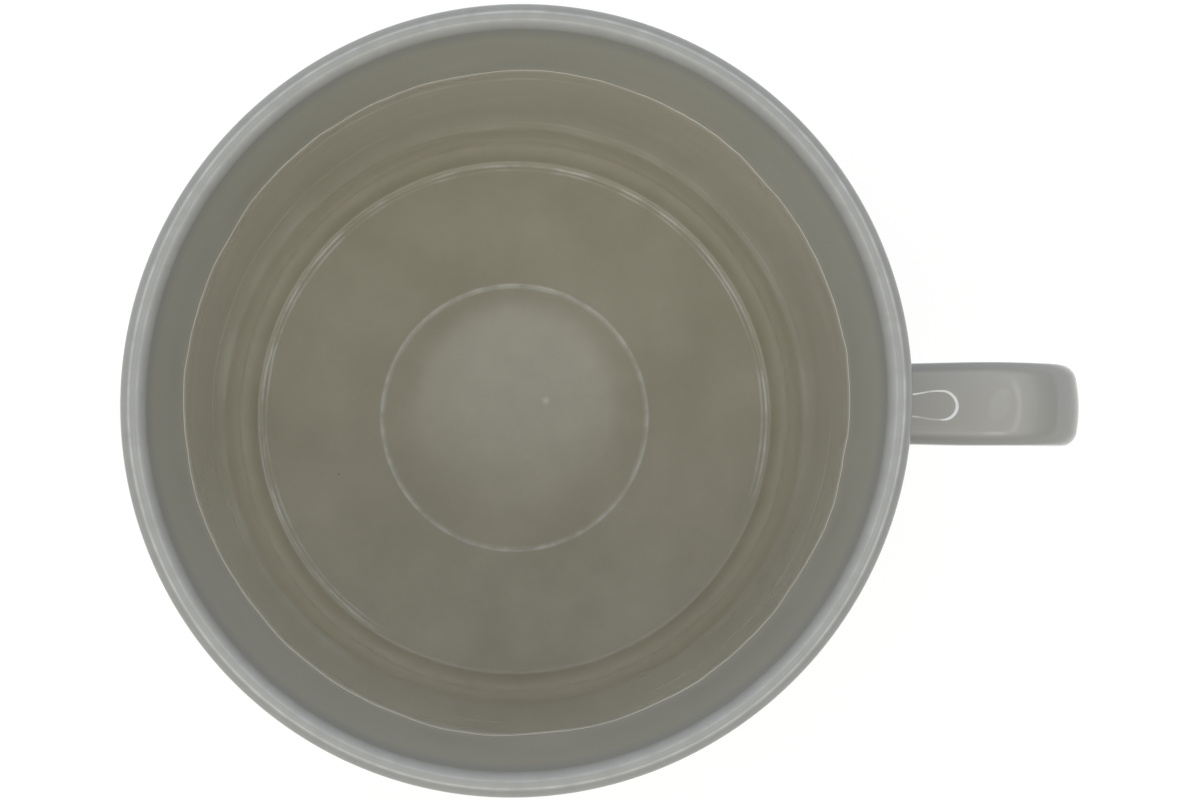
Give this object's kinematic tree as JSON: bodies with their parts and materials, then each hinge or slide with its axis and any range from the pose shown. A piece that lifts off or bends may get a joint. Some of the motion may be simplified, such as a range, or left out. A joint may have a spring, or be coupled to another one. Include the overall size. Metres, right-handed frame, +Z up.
{
  "type": "mug",
  "caption": "Round glazed stoneware drinking mug with a flared lip, a dished inside floor, an unglazed foot ring and a squared strap handle.",
  "frame": {"origin": "middle of the whole mug's outline, cup and handle together, on the table plane that the foot ring stands on", "axes": "+Z up along the cup, +X from the cup towards its handle, +Y across the handle"},
  "size_m": [0.1134, 0.09, 0.095],
  "materials": {
    "bare_clay": "unglazed fired stoneware, fine grain",
    "fired_slip": "unglazed fired slip",
    "liner_glaze": "glossy warm grey-cream glaze",
    "outer_glaze": "glossy neutral grey-white glaze"
  },
  "bodies": {
    "root": {"body": "bare_clay", "handle": "bare_clay", "upper_slip_joint": "fired_slip", "lower_slip_joint": "fired_slip", "liner_glaze": "liner_glaze", "outer_glaze": "outer_glaze", "handle_glaze": "outer_glaze"}
  },
  "joints": []
}
